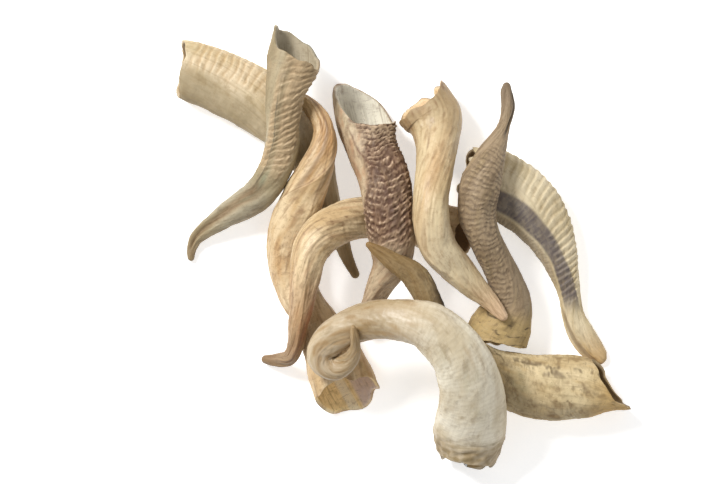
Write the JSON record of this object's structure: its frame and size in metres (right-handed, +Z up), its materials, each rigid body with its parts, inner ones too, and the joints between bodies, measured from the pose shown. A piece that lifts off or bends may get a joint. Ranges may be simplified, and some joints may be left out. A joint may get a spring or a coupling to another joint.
{
  "type": "shofar",
  "caption": "Heap of raw ram's horn shofar blanks lying over one another, each a hollow twisted horn with a closed tip and a ragged open base.",
  "frame": {"origin": "middle of the heap's footprint, on the surface the horns lie on", "axes": "+Z up, away from the surface; +X from the pale horn's base towards the torn base; +Y from the front horn's base towards the back of the heap"},
  "size_m": [0.455, 0.4432, 0.1229],
  "materials": {
    "pale_yellow_horn": "raw horn, pale yellow, fine cross ridges, dull",
    "striped_horn": "raw horn, pale ridged band beside a dark purple-brown stripe",
    "amber_horn": "raw horn, amber tan, lengthwise brown streaks, low sheen",
    "tan_horn": "raw horn, tan, streaked, low sheen",
    "brown_ridged_horn": "raw horn, deep brown grooves between pale pinkish crests",
    "olive_horn": "raw horn, olive tan with grey-brown patches and dark mottles, rough",
    "grey_horn": "raw horn, grey-brown, fine close ridges, fibrous",
    "cream_horn": "raw horn, pale cream with orange flush and small spots, low sheen",
    "ivory_horn": "raw horn, ivory, smooth, fine cross lines, low sheen",
    "grey_green_horn": "raw horn, grey-brown with smooth grey-green flanks and a ridged band"
  },
  "bodies": {
    "root": {"pale_back_horn": "pale_yellow_horn", "striped_horn": "striped_horn", "amber_long_horn": "amber_horn", "arched_horn": "tan_horn", "ridged_brown_horn": "brown_ridged_horn", "torn_base_horn": "olive_horn", "grey_twisted_horn": "grey_horn", "cream_horn": "cream_horn", "front_horn": "ivory_horn", "twisted_left_horn": "grey_green_horn"}
  },
  "joints": []
}
